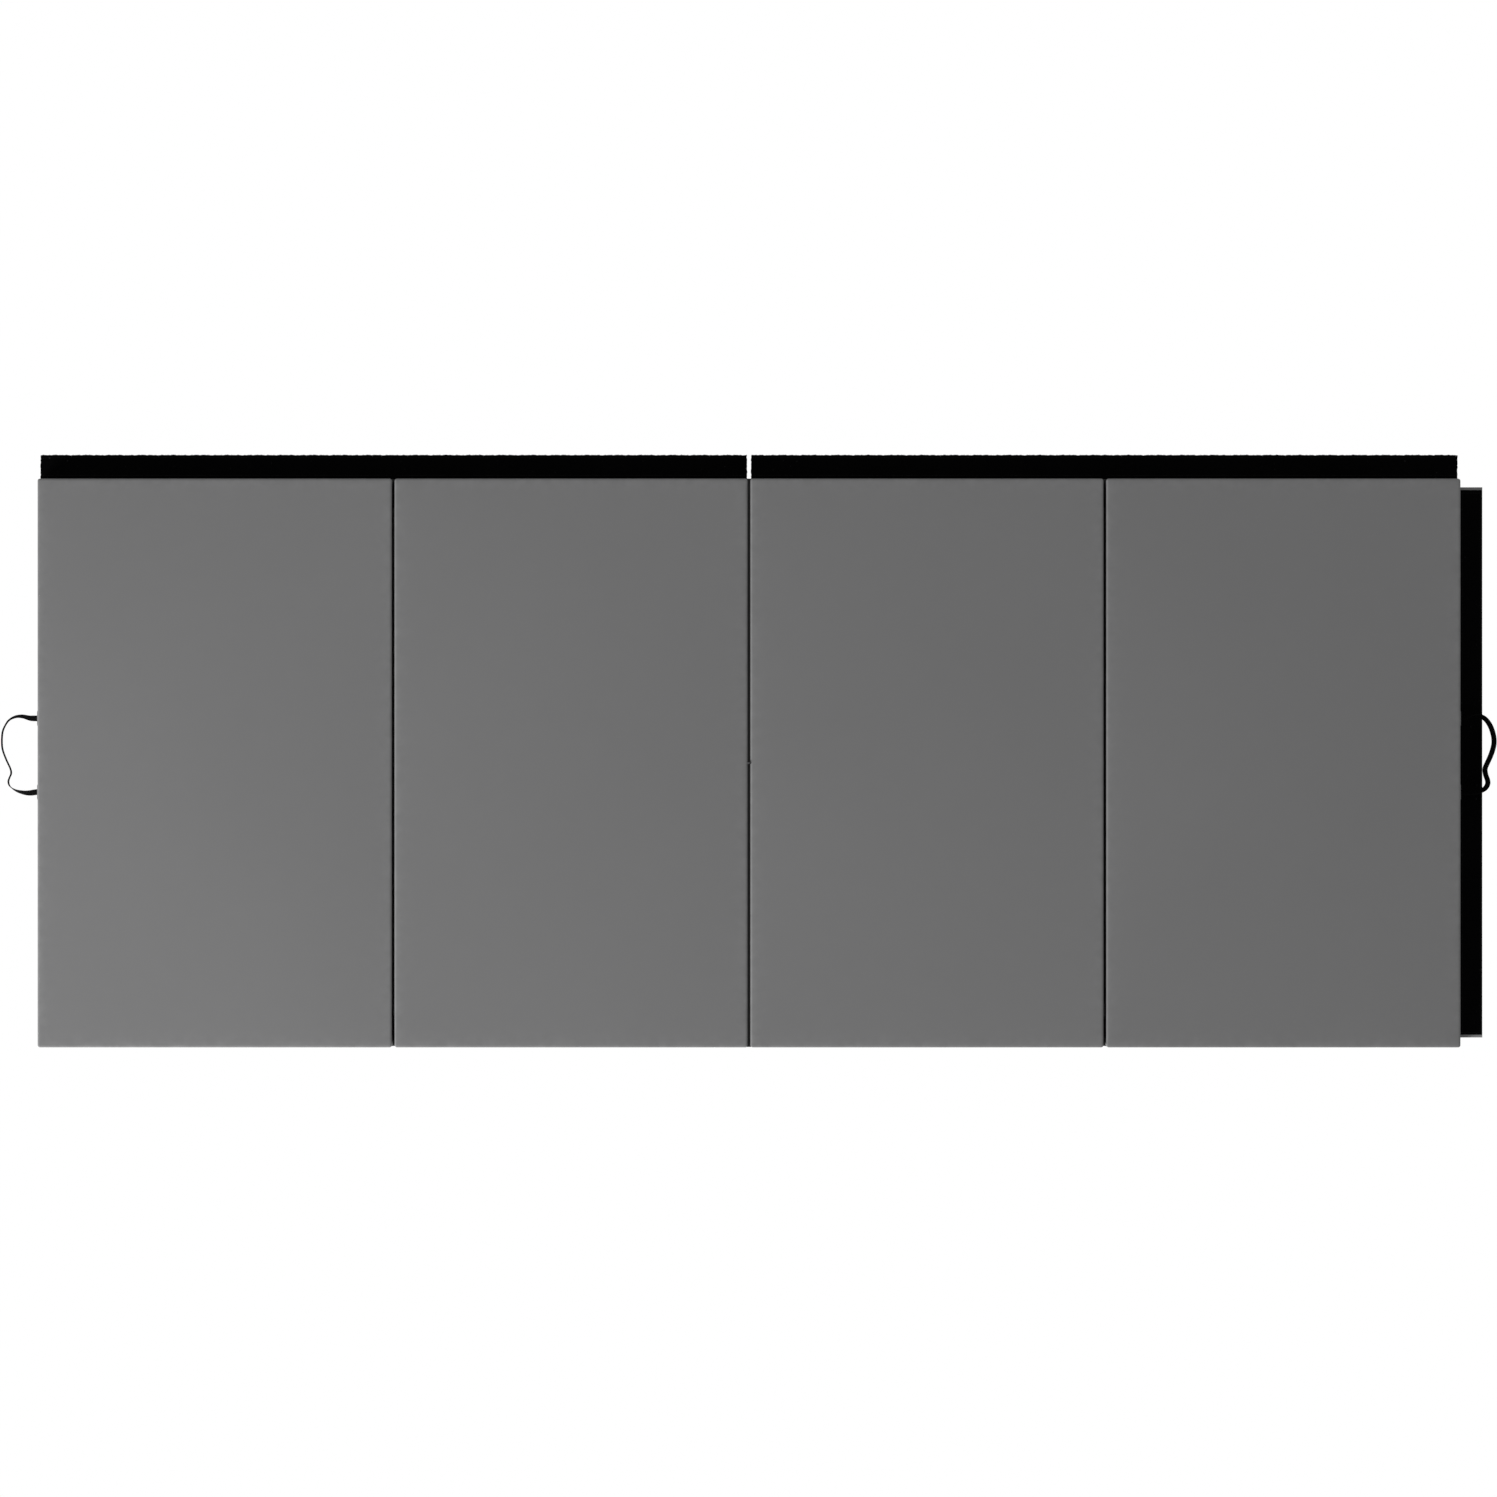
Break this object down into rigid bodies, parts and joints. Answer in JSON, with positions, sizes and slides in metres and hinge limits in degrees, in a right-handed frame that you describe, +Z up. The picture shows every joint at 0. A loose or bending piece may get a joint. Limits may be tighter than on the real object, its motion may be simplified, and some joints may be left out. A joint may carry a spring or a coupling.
{
  "type": "folding gym mat",
  "caption": "Folding gym mat of foam panels in sewn vinyl covers, with hook-and-loop flaps along the back and one end and a webbing handle at each end.",
  "frame": {"origin": "on the floor under the middle of the whole object, flaps and handles counted", "axes": "+X along the row of panels towards the end flap, +Y towards the back flaps, +Z up out of the mat's top face"},
  "size_m": [3.2018, 1.2706, 0.0508],
  "materials": {
    "cover_vinyl": "smooth gray coated vinyl with a faint leather grain",
    "base_vinyl": "gray coated vinyl, matte, with a fine non-slip grain",
    "foam": "closed-cell polyethylene foam",
    "loop_tape": "black brushed nylon loop pile",
    "hook_tape": "black nylon hook tape",
    "webbing": "black woven polypropylene webbing",
    "hinge_web": "black coated hinge cloth",
    "zipper_tape": "black woven zipper tape with a nylon coil",
    "zip_slider": "black enamelled zinc"
  },
  "bodies": {
    "panel_1": {"foam_core_1": "foam", "top_cover_1": "cover_vinyl", "boxing_1": "cover_vinyl", "bottom_cover_1": "base_vinyl", "zipper_1": "zipper_tape", "front_hook_tape_1": "hook_tape", "left_hook_tape": "hook_tape", "left_handle_patch_back": "cover_vinyl", "left_handle_patch_front": "cover_vinyl"},
    "panel_2": {"foam_core_2": "foam", "top_cover_2": "cover_vinyl", "boxing_2": "cover_vinyl", "bottom_cover_2": "base_vinyl", "zipper_2": "zipper_tape", "front_hook_tape_2": "hook_tape", "hinge_web_12": "hinge_web", "hinge_web_23": "hinge_web"},
    "panel_3": {"foam_core_3": "foam", "top_cover_3": "cover_vinyl", "boxing_3": "cover_vinyl", "bottom_cover_3": "base_vinyl", "zipper_3": "zipper_tape", "front_hook_tape_3": "hook_tape", "hinge_web_34": "hinge_web"},
    "panel_4": {"foam_core_4": "foam", "top_cover_4": "cover_vinyl", "boxing_4": "cover_vinyl", "bottom_cover_4": "base_vinyl", "zipper_4": "zipper_tape", "front_hook_tape_4": "hook_tape", "right_handle_patch_back": "cover_vinyl", "right_handle_patch_front": "cover_vinyl"},
    "back_flap_1": {"back_flap_1": "base_vinyl", "back_loop_tape_1": "loop_tape"},
    "back_flap_2": {"back_flap_2": "base_vinyl", "back_loop_tape_2": "loop_tape"},
    "back_flap_3": {"back_flap_3": "base_vinyl", "back_loop_tape_3": "loop_tape"},
    "back_flap_4": {"back_flap_4": "base_vinyl", "back_loop_tape_4": "loop_tape"},
    "end_flap": {"end_flap": "base_vinyl", "end_loop_tape": "loop_tape"},
    "left_handle": {"left_handle": "webbing", "left_handle_root_back": "webbing", "left_handle_root_front": "webbing"},
    "right_handle": {"right_handle": "webbing", "right_handle_root_back": "webbing", "right_handle_root_front": "webbing"},
    "zip_slider_1": {"zip_slider_1": "zip_slider"},
    "zip_slider_2": {"zip_slider_2": "zip_slider"},
    "zip_slider_3": {"zip_slider_3": "zip_slider"},
    "zip_slider_4": {"zip_slider_4": "zip_slider"}
  },
  "joints": [
    {"name": "fold_12", "type": "hinge", "parent": "panel_2", "child": "panel_1", "pos_m": [-0.762, 0, -0.0003], "axis": [0, -1, 0], "range_deg": [0, 180], "deforming": ["hinge_web_12"]},
    {"name": "fold_23", "type": "hinge", "parent": "panel_2", "child": "panel_3", "pos_m": [0, 0, 0.0511], "axis": [0, -1, 0], "range_deg": [0, 180], "deforming": ["hinge_web_23"]},
    {"name": "fold_34", "type": "hinge", "parent": "panel_3", "child": "panel_4", "pos_m": [0.762, 0, -0.0003], "axis": [0, 1, 0], "range_deg": [0, 180], "deforming": ["hinge_web_34"]},
    {"name": "back_flap_1_fold", "type": "hinge", "parent": "panel_1", "child": "back_flap_1", "pos_m": [-1.14, 0.5865, 0], "axis": [1, 0, 0], "range_deg": [-180, 90]},
    {"name": "back_flap_2_fold", "type": "hinge", "parent": "panel_2", "child": "back_flap_2", "pos_m": [-0.384, 0.5865, 0], "axis": [1, 0, 0], "range_deg": [-180, 90]},
    {"name": "back_flap_3_fold", "type": "hinge", "parent": "panel_3", "child": "back_flap_3", "pos_m": [0.384, 0.5865, 0], "axis": [1, 0, 0], "range_deg": [-180, 90]},
    {"name": "back_flap_4_fold", "type": "hinge", "parent": "panel_4", "child": "back_flap_4", "pos_m": [1.14, 0.5865, 0], "axis": [1, 0, 0], "range_deg": [-180, 90]},
    {"name": "end_flap_fold", "type": "hinge", "parent": "panel_4", "child": "end_flap", "pos_m": [1.5266, -0.0257, -0.0013], "axis": [0, -1, 0], "range_deg": [-180, 0]},
    {"name": "left_handle_swing", "type": "hinge", "parent": "panel_1", "child": "left_handle", "pos_m": [-1.539, -0.009, 0.025], "axis": [0, 1, 0], "range_deg": [-85, 90], "deforming": ["left_handle_root_back", "left_handle_root_front"]},
    {"name": "right_handle_swing", "type": "hinge", "parent": "panel_4", "child": "right_handle", "pos_m": [1.539, -0.009, 0.025], "axis": [0, -1, 0], "range_deg": [0, 90], "deforming": ["right_handle_root_back", "right_handle_root_front"]},
    {"name": "zip_1_slide", "type": "slide", "parent": "panel_1", "child": "zip_slider_1", "axis": [0, 1, 0], "range_m": [0, 1.07]},
    {"name": "zip_2_slide", "type": "slide", "parent": "panel_2", "child": "zip_slider_2", "axis": [0, 1, 0], "range_m": [0, 1.07]},
    {"name": "zip_3_slide", "type": "slide", "parent": "panel_3", "child": "zip_slider_3", "axis": [0, 1, 0], "range_m": [0, 1.07]},
    {"name": "zip_4_slide", "type": "slide", "parent": "panel_4", "child": "zip_slider_4", "axis": [0, 1, 0], "range_m": [0, 1.07]}
  ],
  "couplings": [
    {"joint": "back_flap_1_fold", "follows": "back_flap_2_fold", "ratio": 1},
    {"joint": "back_flap_4_fold", "follows": "back_flap_3_fold", "ratio": 1}
  ]
}
